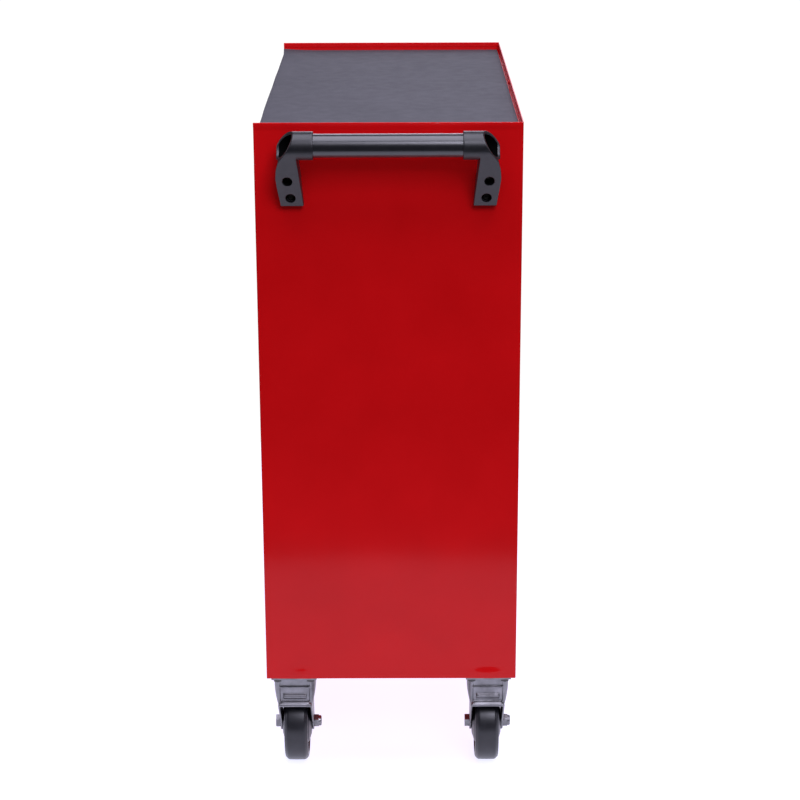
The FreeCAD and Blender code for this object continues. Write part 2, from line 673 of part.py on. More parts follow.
def handle_bracket(name, sign):
    """A moulded bracket: a leg that leans out from the panel to a collar round the tube.

    Drawn for the +Y side, with the panel's outer face at X 0 and the tube's axis at Z 0.
    """
    stand, ring = size("handle_stand"), size("collar_radius")
    inner, outer = size("collar_inner"), size("collar_outer")
    foot, deep = size("handle_drop") - size("foot_drop"), stand + 2 * ring
    outline = [Vector(x, 0, z) for x, z in strut_outline()]
    strut = Part.Face(Part.makePolygon(outline + outline[:1])).extrude(Vector(0, 2 * outer, 0))
    cuts = []
    for rise, edge_in, edge_out in LEG_LEVELS:
        corners = [Vector(0, edge_in, 0), Vector(0, edge_out, 0), Vector(deep, edge_out, 0),
                   Vector(deep, edge_in, 0)]
        wire = Part.makePolygon(corners + corners[:1])
        wire.translate(Vector(0, 0, foot + rise))
        cuts.append(wire)
    strut = strut.common(Part.makeLoft(cuts, True, True))
    collar = Part.makeCylinder(ring, outer - inner, Vector(stand, inner, 0), Vector(0, 1, 0))
    tool = slant_tool(1, 0)
    tool.translate(Vector(stand, 0, 0))
    shape = strut.fuse(collar).cut(tool)
    bore = size("tube_radius") + size("running_gap")
    shape = shape.cut(Part.makeCylinder(bore, outer, Vector(stand, inner - 1, 0), Vector(0, 1, 0)))
    for span, drop in HANDLE_SCREWS:
        y, z = size(span), size("handle_drop") - size(drop)
        hole = size("screw_radius") + size("running_gap")
        shape = shape.cut(Part.makeCylinder(hole, deep, Vector(-1, y, z), Vector(1, 0, 0)))
        well = Vector(size("screw_floor"), y, z)
        shape = shape.cut(Part.makeCylinder(size("screw_well"), deep, well, Vector(1, 0, 0)))
    if sign < 0:
        shape = shape.mirror(Vector(), Vector(0, 1, 0))
    feature = doc.addObject("Part::Feature", name)
    feature.Shape = shape.removeSplitter()
    centred(keep(feature, name), "body_width / 2", z=HANDLE_Z)


def handle_screws():
    """The four bracket screws, each with its nut behind the end panel."""
    screws = []
    nut_x = "-(sheet + screw_nut_height)"
    for hand in (-1, 1):
        for span, drop in HANDLE_SCREWS:
            y, z = f"{hand} * {span}", f"-{drop}"
            shank = post("screw_radius", f"screw_floor + sheet - {nut_x}", (f"{nut_x} - sheet", y, z), "x")
            head = post("screw_head", "screw_head_height", ("screw_floor", y, z), "x")
            nut = hexagon("screw_nut", "screw_nut_height", (nut_x, y, z), "x")
            screws.append(fuse([shank, head, nut]))
    centred(group(screws, "handle_screws"), "body_width / 2", z=RIM_TOP)


# ---------------------------------------------------------------- casters

def rounded_section(low_x, high_x, half_y, corner, z):
    """A closed wire: a rectangle with round corners at height z."""
    r = corner
    x0, x1, y0, y1 = low_x, high_x, -half_y, half_y
    c = math.sqrt(0.5) * r
    corners = [
        (x1 - r, y1 - r, 1, 1), (x0 + r, y1 - r, -1, 1), (x0 + r, y0 + r, -1, -1), (x1 - r, y0 + r, 1, -1),
    ]
    arcs = []
    for cx, cy, sx, sy in corners:
        along_x, along_y = Vector(cx + sx * r, cy, z), Vector(cx, cy + sy * r, z)
        start, end = (along_x, along_y) if sx * sy > 0 else (along_y, along_x)
        arcs.append(Part.Arc(start, Vector(cx + sx * c, cy + sy * c, z), end))
    edges = []
    for k, arc in enumerate(arcs):
        edges.append(arc.toShape())
        edges.append(Part.makeLine(arc.EndPoint, arcs[(k + 1) % 4].StartPoint))
    return Part.Wire(edges)


def crown(inset, swivels):
    """The fork's closed upper part: square at its skirt, it swells into round shoulders."""
    radius, flare = size("fork_radius") - inset, size("fork_flare") - inset
    half = size("fork_half") + size("fork_wall") - inset
    top = size("fork_top") if swivels else size("caster_height") - size("plate_thickness")
    skirt = size("fork_skirt")
    front = radius - 2
    # The hollow's top stops a plate's thickness below the crown's, and its foot is open.
    top, low = (top - size("fork_wall"), skirt - 1) if inset else (top, skirt)
    corner = size("fork_corner") - inset
    sections = [
        rounded_section(-front, front, half, corner, low),
        rounded_section(-front, front, half + (flare - half) * 0.55, 1.3 * corner, skirt + 10),
        rounded_section(-radius + 1, radius - 1, flare, 2 * corner, skirt + 22),
        rounded_section(-radius, radius, flare, radius / 1.5, top),
    ]
    return Part.makeLoft(sections, True, False)


def apron(front):
    """Cuts and adds for the fork's front: a sunk window with pressed ribs over a rolled lower edge."""
    half, skirt, top = size("fork_half"), size("fork_skirt"), size("caster_height")
    across = Vector(0, 1, 0)
    window = Part.makeBox(10, 2 * half, top, Vector(front - 4, -half, skirt + 7))
    plate = Part.makeBox(2.8, 2 * half + 1, top, Vector(front - 6.5, -half - 0.5, skirt + 2))
    low_rib = Part.makeCylinder(3.2, 30, Vector(front - 4, -15, skirt + 14.5), across)
    ledge = Part.makeBox(3, 2 * half, 2, Vector(front - 4, -half, skirt + 27))
    roll = Part.makeCylinder(2.6, 2 * half + 3, Vector(front - 0.6, -half - 1.5, skirt + 2.6), across)
    return window, [plate, low_rib, ledge, roll]


def caster_fork(name, end, side, swivels):
    """A stamped fork. Its skirt closes the front; two legs reach down and back to the axle."""
    half, wall = size("fork_half"), size("fork_wall")
    skirt, axle_z = size("fork_skirt"), size("wheel_radius")
    axle_x = -size("trail") if swivels else 0
    eye = size("fork_eye")
    front = size("fork_radius") - 2
    solid = crown(0, swivels)
    window, ribs = apron(front)
    # The back is open lower down, where the trailing wheel reaches in.
    open_back = Part.makeBox(2 * front, 2 * half, skirt + size("back_opening"), Vector(-2 * front, -half, 0))
    shape = solid.cut(crown(wall, swivels)).cut(window).cut(open_back)
    high = Part.makeBox(4 * front, 4 * front, solid.BoundBox.ZMax, Vector(-2 * front, -2 * front, 0))
    for rib in ribs:
        shape = shape.fuse(rib.common(high))
    back = -front
    tangent = eye * math.sqrt(0.5)
    leg_points = [
        Vector(front, 0, skirt + 3), Vector(front, 0, skirt), Vector(axle_x + eye, 0, axle_z + 2),
        Vector(axle_x + tangent, 0, axle_z - tangent), Vector(axle_x, 0, axle_z - eye),
        Vector(axle_x - tangent, 0, axle_z - tangent), Vector(axle_x - eye, 0, axle_z + 2),
        Vector(back, 0, skirt), Vector(back, 0, skirt + 3),
    ]
    outline = Part.Wire([
        Part.makeLine(leg_points[0], leg_points[1]), Part.makeLine(leg_points[1], leg_points[2]),
        Part.Arc(leg_points[2], leg_points[4], leg_points[6]).toShape(),
        Part.makeLine(leg_points[6], leg_points[7]), Part.makeLine(leg_points[7], leg_points[8]),
        Part.makeLine(leg_points[8], leg_points[0]),
    ])
    leg = Part.Face(outline).extrude(Vector(0, wall, 0))
    for low_y in (half, -half - wall):
        plate = leg.copy()
        plate.translate(Vector(0, low_y, 0))
        shape = shape.fuse(plate)
    hole = size("axle_radius") + size("running_gap")
    shape = shape.cut(Part.makeCylinder(hole, 4 * half, Vector(axle_x, -2 * half, axle_z), Vector(0, 1, 0)))
    if swivels:
        pin_hole = size("kingpin_radius") + size("running_gap")
        shape = shape.cut(Part.makeCylinder(pin_hole, size("fork_top"), Vector(0, 0, skirt)))
    feature = doc.addObject("Part::Feature", name)
    feature.Shape = shape.removeSplitter()
    x, y = caster_centre(end, side)
    centred(keep(feature, name), x, y)


def caster(spot, end, side, swivels):
    x, y = caster_centre(end, side)
    axle_x = f"{x} - trail" if swivels else x
    plate_low = "caster_height - plate_thickness"
    half_l, half_w = "plate_length / 2", "plate_width / 2"

    plate = new_body(f"caster_plate_{spot}")
    outline = rectangle(f"-{half_l}", f"-{half_w}", half_l, half_w)
    pad(plate, polygon(sketch_on(plate, "XY_Plane"), outline), "plate_thickness")
    corner_holes = [(f"{a} * plate_hole_x", f"{b} * plate_hole_y") for a in (-1, 1) for b in (-1, 1)]
    holes = circles(sketch_on(plate, "XY_Plane", "plate_thickness"), corner_holes, "plate_hole_radius")
    pocket(plate, holes, "2 * plate_thickness")
    if swivels:
        race_low = "(fork_top + swivel_gap - caster_height + plate_thickness)"
        head_top = "(fork_top - fork_wall - swivel_gap - caster_height + plate_thickness)"
        for radius, low, high in (
            ("race_radius", race_low, "sheet"), ("kingpin_radius", head_top, f"{race_low} + sheet"),
            ("3 * kingpin_radius / 2", f"{head_top} - 4 * sheet", head_top),
        ):
            disc = circles(sketch_on(plate, "XY_Plane", low), [("0", "0")], radius)
            pad(plate, disc, f"{high} - {low}")
    centred(plate, x, y, plate_low)

    caster_fork(f"caster_fork_{spot}", end, side, swivels)

    wheel = new_body(f"caster_wheel_{spot}")
    hub, tread, rim = "hub_half", "tread_half", "wheel_radius"
    bore = "axle_radius + running_gap"
    right = [
        (hub, bore), (hub, "hub_radius"), (f"{tread} + sheet / 2", "hub_radius + 11 * sheet"),
        (f"{tread} - 3 * sheet", "hub_radius + 13 * sheet"), (f"{tread} - 3 * sheet", f"{rim} - 11 * sheet"),
        (tread, f"{rim} - 9 * sheet"), (tread, f"{rim} - 4.5 * sheet"),
        (f"{tread} - 1.4 * sheet", f"{rim} - 1.5 * sheet"), (f"{tread} - 4.5 * sheet", rim),
    ]
    left = [(f"-({u})", v) for u, v in reversed(right)]
    turn(wheel, polygon(sketch_on(wheel, "YZ_Plane"), right + left), "H_Axis")
    centred(wheel, axle_x, y, "wheel_radius")

    outer, hex_height = "(fork_half + fork_wall)", "(3 * nut_height / 5)"
    bolt = new_body(f"caster_axle_{spot}")
    six = [(f"hex_flat / sqrt(3) * cos({60 * k + 30} deg)", f"hex_flat / sqrt(3) * sin({60 * k + 30} deg)")
           for k in range(6)]
    pad(bolt, polygon(sketch_on(bolt, "XZ_Plane", outer), six), "head_height")
    shank_end = f"-({outer} + nut_height - sheet)"
    shank = circles(sketch_on(bolt, "XZ_Plane", shank_end), [("0", "0")], "axle_radius")
    pad(bolt, shank, f"2 * {outer} + nut_height - sheet / 2")
    centred(bolt, axle_x, y, "wheel_radius")

    nut = new_body(f"caster_nut_{spot}")
    pad(nut, polygon(sketch_on(nut, "XZ_Plane", f"-({outer} + {hex_height})"), six), hex_height)
    collar = circles(sketch_on(nut, "XZ_Plane", f"-({outer} + nut_height)"), [("0", "0")], "6.6 * sheet")
    pad(nut, collar, "2 * nut_height / 5 + sheet / 10")
    hole = circles(sketch_on(nut, "XZ_Plane", f"-({outer} + nut_height - sheet)"), [("0", "0")],
                   "axle_radius + running_gap / 2")
    pocket(nut, hole, "nut_height + 1", flip=True)
    centred(nut, axle_x, y, "wheel_radius")


def caster_bolts():
    """Sixteen plate bolts, each with its nut inside the base pan."""
    bolts = []
    low = "caster_height - plate_thickness - bolt_head"
    for x, y, along, across in plate_holes():
        head = hexagon("bolt_flat", "bolt_head", (x, y, low))
        shank = post("bolt_radius", "bolt_length + bolt_head", (x, y, low))
        nut = hexagon("bolt_flat", "bolt_head + sheet", (x, y, "caster_height + sheet"))
        bolts.append(fuse([head, shank, nut]))
    centred(group(bolts, "caster_bolts"))


for side_name, side_sign in SIDES:
    end_panel(side_name, side_sign)
back_panel()
top_panel()
base_pan()
slide_uprights()
fixed_slides()
top_mat()
for drawer_index in range(DRAWER_COUNT):
    drawer(drawer_index)
lock()
handle_tube()
handle_bracket("handle_bracket_front", -1)
handle_bracket("handle_bracket_rear", 1)
handle_screws()
for caster_spot in CASTERS:
    caster(*caster_spot)
caster_bolts()
doc.recompute()

for thing in doc.Objects:
    if "Invalid" in thing.State or "Error" in thing.State:
        raise RuntimeError(f"{thing.Label} ({thing.Name}) failed: {thing.State}")
if len(nodes) > 60:
    raise RuntimeError(f"{len(nodes)} nodes")
os.makedirs("parts", exist_ok=True)
for node in nodes:
    shape = node.Shape
    if shape.isNull() or not shape.isValid():
        raise RuntimeError(f"{node.Label} has no valid shape")
for node in nodes:
    node.Shape.exportStep(f"parts/{node.Label}.step")
whole = Part.makeCompound([node.Shape for node in nodes]).BoundBox
print(len(nodes), "nodes", whole)
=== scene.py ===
"""The looks of the rolling tool cabinet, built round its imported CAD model. Metres, +Z up."""

import json
import math

import bmesh
import bpy
from mathutils import Matrix, Vector, noise

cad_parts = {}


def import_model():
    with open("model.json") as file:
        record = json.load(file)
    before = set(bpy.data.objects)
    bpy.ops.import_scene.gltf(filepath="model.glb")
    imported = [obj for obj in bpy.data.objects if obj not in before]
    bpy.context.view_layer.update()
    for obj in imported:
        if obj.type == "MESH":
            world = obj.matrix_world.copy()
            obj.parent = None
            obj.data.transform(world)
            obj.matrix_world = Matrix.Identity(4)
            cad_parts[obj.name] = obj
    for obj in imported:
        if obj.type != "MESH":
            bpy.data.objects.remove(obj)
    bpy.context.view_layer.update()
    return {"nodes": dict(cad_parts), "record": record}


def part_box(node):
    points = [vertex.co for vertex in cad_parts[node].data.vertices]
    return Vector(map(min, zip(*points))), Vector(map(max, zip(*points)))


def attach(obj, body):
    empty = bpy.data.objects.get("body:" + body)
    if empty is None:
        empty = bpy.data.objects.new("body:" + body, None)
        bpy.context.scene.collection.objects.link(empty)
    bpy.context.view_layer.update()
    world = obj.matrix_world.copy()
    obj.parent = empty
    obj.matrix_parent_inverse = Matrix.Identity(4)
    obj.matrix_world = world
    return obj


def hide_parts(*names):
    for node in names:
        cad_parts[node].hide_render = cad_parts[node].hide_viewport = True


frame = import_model()

MM = 0.001
WELD = 0.01 * MM
NODES = frame["nodes"]
NODE_BODY = {node: body for body, nodes in frame["record"]["behaviour"]["bodies"].items() for node in nodes}
NODE_SLOT = {part["node"]: part["material_slot"] for part in frame["record"]["subparts"]}


# ------------------------------------------------------------------ mesh helpers

def new_piece(name, mesh, node=None, body=None, material=None):
    """Links a mesh as a piece, rides it on a body, and lets it stand for a CAD node if one is named."""
    piece = bpy.data.objects.new(name, mesh)
    bpy.context.scene.collection.objects.link(piece)
    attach(piece, body or NODE_BODY[node])
    if node:
        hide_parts(node)
    if material:
        mesh.materials.clear()
        mesh.materials.append(material)
    return piece


def mesh_from(name, verts, faces):
    mesh = bpy.data.meshes.new(name)
    mesh.from_pydata([tuple(v) for v in verts], [], faces)
    mesh.validate()
    return mesh


def shade(mesh, angle=35):
    """Smooth shading that keeps edges sharper than the angle."""
    mesh.shade_smooth()
    mesh.set_sharp_from_angle(angle=math.radians(angle))


def modify(piece, kind, **settings):
    modifier = piece.modifiers.new(kind.title(), kind)
    for key, value in settings.items():
        setattr(modifier, key, value)
    return modifier


def applied(piece):
    """Applies every modifier of a piece that is still at rest."""
    graph = bpy.context.evaluated_depsgraph_get()
    mesh = bpy.data.meshes.new_from_object(piece.evaluated_get(graph))
    piece.modifiers.clear()
    piece.data = mesh
    return piece


def rounded(points, radii, steps=5):
    """A polyline with each corner replaced by an arc; radii is one number or one per point."""
    count = len(points)
    if not isinstance(radii, (list, tuple)):
        radii = [radii] * count
    out = []
    for k, point in enumerate(points):
        here = Vector(point)
        if radii[k] <= 0 or k in (0, count - 1):
            out.append(here)
            continue
        before, after = Vector(points[k - 1]), Vector(points[k + 1])
        a, b = (before - here).normalized(), (after - here).normalized()
        half = a.angle(b) / 2
        reach = min(radii[k] / math.tan(half), (before - here).length * 0.49, (after - here).length * 0.49)
        radius = reach * math.tan(half)
        centre = here + (a + b).normalized() * (radius / math.sin(half))
        start, end = here + a * reach - centre, here + b * reach - centre
        sweep = start.angle(end)
        turn = 1 if start.cross(end) > 0 else -1
        for step in range(steps + 1):
            angle = turn * sweep * step / steps
            cos, sin = math.cos(angle), math.sin(angle)
            out.append(centre + Vector((start.x * cos - start.y * sin, start.x * sin + start.y * cos)))
    return out


AXES = {
    "x": (Vector((0, 1, 0)), Vector((0, 0, 1)), Vector((1, 0, 0))),
    "y": (Vector((0, 0, 1)), Vector((1, 0, 0)), Vector((0, 1, 0))),
    "z": (Vector((1, 0, 0)), Vector((0, 1, 0)), Vector((0, 0, 1))),
}


def lathe_mesh(name, outline, axis, centre, segments=96, closed=False):
    """Turns an outline of (radius, height) about an axis through centre."""
    u, v, w = AXES[axis]
    verts, faces = [], []
    for step in range(segments):
        angle = 2 * math.pi * step / segments
        ray = u * math.cos(angle) + v * math.sin(angle)
        for radius, height in outline:
            verts.append(Vector(centre) + ray * radius + w * height)
    rows = len(outline)
    spans = rows if closed else rows - 1
    for step in range(segments):
        a, b = step * rows, ((step + 1) % segments) * rows
        for row in range(spans):
            following = (row + 1) % rows
            faces.append((a + row, a + following, b + following, b + row))
    mesh = mesh_from(name, verts, faces)
    return tidy(mesh)


def tidy(mesh, distance=1e-6):
    """Merges doubled points and makes the faces point outwards."""
    build = bmesh.new()
    build.from_mesh(mesh)
    bmesh.ops.remove_doubles(build, verts=build.verts, dist=distance)
    bmesh.ops.recalc_face_normals(build, faces=build.faces)
    build.to_mesh(mesh)
    build.free()
    return mesh


def joined(name, meshes):
    """One mesh from several."""
    build = bmesh.new()
    for mesh in meshes:
        build.from_mesh(mesh)
        bpy.data.meshes.remove(mesh)
    out = bpy.data.meshes.new(name)
    build.to_mesh(out)
    build.free()
    return out


# ------------------------------------------------------------------ materials

class Nodes:
    """A small helper that writes one material's node tree."""

    def __init__(self, name):
        self.material = bpy.data.materials.new(name)
        self.material.use_nodes = True
        self.tree = self.material.node_tree
        self.shader = self.tree.nodes["Principled BSDF"]
        self.place = self.add("ShaderNodeTexCoord").outputs["Object"]

    def add(self, kind, **settings):
        node = self.tree.nodes.new(kind)
        for key, value in settings.items():
            if key in node.inputs.keys():
                node.inputs[key].default_value = value
            else:
                setattr(node, key, value)
        return node

    def link(self, source, target):
        self.tree.links.new(source, target)

    def set(self, **values):
        for key, value in values.items():
            self.shader.inputs[key.replace("_", " ")].default_value = value

    def noise(self, scale, detail=3.0, roughness=0.5, stretch=None):
        node = self.add("ShaderNodeTexNoise", Scale=scale, Detail=detail, Roughness=roughness)
        place = self.place
        if stretch:
            mapping = self.add("ShaderNodeMapping")
            mapping.inputs["Scale"].default_value = stretch
            self.link(place, mapping.inputs["Vector"])
            place = mapping.outputs["Vector"]
        self.link(place, node.inputs["Vector"])
        return node.outputs["Fac"]

    def ramp(self, source, low, high, dark, light):
        """Maps source between two stops to two colours."""
        node = self.add("ShaderNodeValToRGB")
        node.color_ramp.elements[0].position = low
        node.color_ramp.elements[1].position = high
        node.color_ramp.elements[0].color = (*dark, 1)
        node.color_ramp.elements[1].color = (*light, 1)
        self.link(source, node.inputs["Fac"])
        return node.outputs["Color"]

    def spread(self, source, low, high):
        """Maps a 0 to 1 source onto a range."""
        node = self.add("ShaderNodeMapRange")
        node.inputs["To Min"].default_value = low
        node.inputs["To Max"].default_value = high
        self.link(source, node.inputs["Value"])
        return node.outputs["Result"]

    def bump(self, source, height, strength=1.0, under=None):
        node = self.add("ShaderNodeBump", Strength=strength, Distance=height)
        self.link(source, node.inputs["Height"])
        if under:
            self.link(under, node.inputs["Normal"])
        return node.outputs["Normal"]

    def orange_peel(self):
        """The fine ripple of sprayed or baked paint."""
        return self.bump(self.noise(520, 2), 0.00006, 0.35)


def powder_coat(name, dark, light, roughness=0.42):
    """Baked powder coat: fine orange peel, faint cloudiness in colour and gloss."""
    n = Nodes(name)
    colour = n.ramp(n.noise(9, 4), 0.3, 0.7, dark, light)
    n.link(colour, n.shader.inputs["Base Color"])
    n.link(n.spread(n.noise(35, 5), roughness - 0.04, roughness + 0.07), n.shader.inputs["Roughness"])
    n.link(n.bump(n.noise(28, 2), 0.0004, 0.12, n.orange_peel()), n.shader.inputs["Normal"])
    n.set(Coat_Weight=0.3, Coat_Roughness=0.11, Specular_IOR_Level=0.05)
    return n.material


def tube_paint():
    """Gloss black paint on the push tube; its bore is dull, and its near-black base colour is painted shade.
    """
    low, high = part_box("handle_tube")
    centre, radius = (low + high) / 2, (high.z - low.z) / 2
    n = Nodes("handle_black")
    away = n.add("ShaderNodeVectorMath", operation="SUBTRACT")
    away.inputs[1].default_value = (centre.x, 0, centre.z)
    n.link(n.place, away.inputs[0])
    across = n.add("ShaderNodeVectorMath", operation="MULTIPLY")
    across.inputs[1].default_value = (1, 0, 1)
    n.link(away.outputs["Vector"], across.inputs[0])
    reach = n.add("ShaderNodeVectorMath", operation="LENGTH")
    n.link(across.outputs["Vector"], reach.inputs[0])
    outer_wall = n.add("ShaderNodeMath", operation="GREATER_THAN")
    outer_wall.inputs[1].default_value = radius - 1.0 * MM
    n.link(reach.outputs["Value"], outer_wall.inputs[0])
    outer_wall = outer_wall.outputs["Value"]
    # Painted shade: inside the bore the base colour drops to near black (0.002) to stand in for the dark
    # recess. The mask marks the tube's outer wall.
    mix = n.add("ShaderNodeMix", data_type="RGBA")
    n.link(outer_wall, mix.inputs["Factor"])
    mix.inputs["A"].default_value = (0.002, 0.002, 0.002, 1)
    n.link(n.ramp(n.noise(40, 4), 0.3, 0.7, (0.008, 0.008, 0.01), (0.013, 0.013, 0.015)), mix.inputs["B"])
    n.link(mix.outputs["Result"], n.shader.inputs["Base Color"])
    n.link(n.spread(outer_wall, 0.95, 0.3), n.shader.inputs["Roughness"])
    n.link(n.spread(outer_wall, 0.0, 0.35), n.shader.inputs["Specular IOR Level"])
    n.link(n.spread(outer_wall, 0.0, 0.8), n.shader.inputs["Coat Weight"])
    n.link(n.orange_peel(), n.shader.inputs["Normal"])
    n.set(Coat_Roughness=0.26)
    return n.material


def grained(name, dark, light, scale, height, roughness, strength=0.6):
    """Moulded plastic or rubber with a fine pebble grain."""
    n = Nodes(name)
    colour = n.ramp(n.noise(scale / 6, 4), 0.3, 0.7, dark, light)
    n.link(colour, n.shader.inputs["Base Color"])
    n.link(n.spread(n.noise(scale / 9, 3), roughness - 0.06, roughness + 0.08), n.shader.inputs["Roughness"])
    cell = n.add("ShaderNodeTexVoronoi", Scale=scale, feature="SMOOTH_F1")
    n.link(n.place, cell.inputs["Vector"])
    n.link(n.bump(cell.outputs["Distance"], height, strength), n.shader.inputs["Normal"])
    return n.material


def top_rubber():
    """The top mat: dull grey foam rubber with a fine pebbled face and paler specks."""
    n = Nodes("mat_rubber")
    speck = n.ramp(n.noise(900, 2), 0.35, 0.75, (0.04, 0.0388, 0.0455), (0.084, 0.081, 0.092))
    cloud = n.ramp(n.noise(14, 5), 0.3, 0.75, (0.86, 0.86, 0.86), (1, 1, 1))
    mix = n.add("ShaderNodeMix", data_type="RGBA", blend_type="MULTIPLY")
    mix.inputs["Factor"].default_value = 1
    n.link(speck, mix.inputs["A"])
    n.link(cloud, mix.inputs["B"])
    n.link(mix.outputs["Result"], n.shader.inputs["Base Color"])
    n.link(n.spread(n.noise(60, 3), 0.62, 0.82), n.shader.inputs["Roughness"])
    cell = n.add("ShaderNodeTexVoronoi", Scale=620.0, feature="SMOOTH_F1")
    n.link(n.place, cell.inputs["Vector"])
    fine = n.bump(cell.outputs["Distance"], 0.00035, 0.55)
    n.link(n.bump(n.noise(70, 3), 0.0006, 0.25, fine), n.shader.inputs["Normal"])
    n.set(Specular_IOR_Level=0.35)
    return n.material


def brushed(name, dark, light, roughness, stretch, scale=220, metallic=1.0):
    """Metal with fine lines along one direction."""
    n = Nodes(name)
    lines = n.noise(scale, 4, 0.6, stretch)
    n.link(n.ramp(lines, 0.3, 0.7, dark, light), n.shader.inputs["Base Color"])
    n.link(n.spread(lines, roughness - 0.05, roughness + 0.08), n.shader.inputs["Roughness"])
    n.link(n.bump(lines, 0.00004, 0.3), n.shader.inputs["Normal"])
    n.set(Metallic=metallic)
    return n.material


def zinc(name, dark, light, roughness):
    """Bright zinc plating over a stamping: cloudy colour, faint draw marks."""
    n = Nodes(name)
    cloud = n.noise(55, 5, 0.6)
    n.link(n.ramp(cloud, 0.3, 0.7, dark, light), n.shader.inputs["Base Color"])
    n.link(n.spread(n.noise(130, 4), roughness - 0.07, roughness + 0.12), n.shader.inputs["Roughness"])
    draw = n.noise(90, 4, 0.6, (1, 1, 0.12))
    n.link(n.bump(draw, 0.00012, 0.35), n.shader.inputs["Normal"])
    n.set(Metallic=1.0)
    return n.material


RED_DARK, RED_LIGHT = (0.52, 0.002, 0.0032), (0.58, 0.0028, 0.0044)
LOOKS = {
    "cabinet_red": powder_coat("cabinet_red", RED_DARK, RED_LIGHT),
    "drawer_red": powder_coat("drawer_red", RED_DARK, RED_LIGHT, 0.4),
    "inner_steel": powder_coat("inner_steel", (0.36, 0.003, 0.004), (0.42, 0.004, 0.005), 0.5),
    "slide_steel": brushed("slide_steel", (0.42, 0.42, 0.43), (0.66, 0.66, 0.66), 0.36, (1, 0.03, 1)),
    "mat_rubber": top_rubber(),
    "liner_rubber": grained("liner_rubber", (0.012, 0.012, 0.013), (0.022, 0.022, 0.024), 500, 0.0005, 0.8),
    "handle_black": tube_paint(),
    "bracket_plastic": grained("bracket_plastic", (0.008, 0.008, 0.0095), (0.012, 0.012, 0.014),
                               1100, 0.00008, 0.37, 0.3),
    "screw_steel": zinc("screw_steel", (0.06, 0.058, 0.056), (0.11, 0.105, 0.1), 0.4),
    "lock_chrome": zinc("lock_chrome", (0.62, 0.62, 0.63), (0.72, 0.72, 0.73), 0.16),
    "pull_aluminium": brushed("pull_aluminium", (0.66, 0.67, 0.68), (0.82, 0.83, 0.84),
                              0.3, (0.02, 1, 1), 700),
    "zinc_steel": zinc("zinc_steel", (0.15, 0.148, 0.152), (0.27, 0.266, 0.275), 0.34),
    "wheel_black": grained("wheel_black", (0.008, 0.008, 0.01), (0.014, 0.014, 0.017),
                           420, 0.00006, 0.33, 0.35),
}


# ------------------------------------------------------------------ sheet metal

DENTS = ((-0.119, 0.017, 0.0009), (0.128, 0.020, 0.0014))
DENT_RISE, DENT_HEIGHT = 0.007, 0.0075
PANEL_WAVE, DENTED_HALF, DENTED_FADE = 0.00035, 0.163, 0.02
SHEET = 1.0 * MM
HEM_PROUD, HEM_TALL, HEM_THICK = 0.6 * MM, 6.3 * MM, 1.7 * MM
FOLD_LOW, FLANGE_DROP, FLANGE_WIDE, FOLD_RADIUS = 23 * MM, 52 * MM, 12.5 * MM, 1.3 * MM
WEB_STEPS = 64


def smooth_step(t):
    t = min(1.0, max(0.0, t))
    return t * t * (3 - 2 * t)


def dent(y, z, low):
    """How far the handle-end panel bows out (+) or in (-) at a place, in metres."""
    wave = PANEL_WAVE * noise.noise(Vector((y * 7, z * 5, 0.3)))
    pull = 0.0
    for centre, width, depth in DENTS:
        across = (y - centre) / width
        up = (z - low - DENT_RISE) / DENT_HEIGHT
        above = (z - low - 2.4 * DENT_RISE) / DENT_HEIGHT
        pull += depth * math.exp(-across * across - up * up)
        pull -= 0.55 * depth * math.exp(-(across * 0.8) ** 2 - above ** 2)
    edge = min(1.0, max(0.0, (DENTED_HALF - abs(y)) / DENTED_FADE))
    return (wave + pull) * edge


def graded(low, high, coarse, fine, bands, stops=()):
    """Row heights from low to high: coarse steps, fine ones inside the bands, and every stop."""
    rows, here = [low], low
    while here < high - 1e-6:
        step = fine if any(a <= here <= b for a, b in bands) else coarse
        following = [stop for stop in stops if here + 1e-6 < stop < here + step * 1.4]
        here = following[0] if following else min(high, here + step)
        rows.append(here)
    return rows


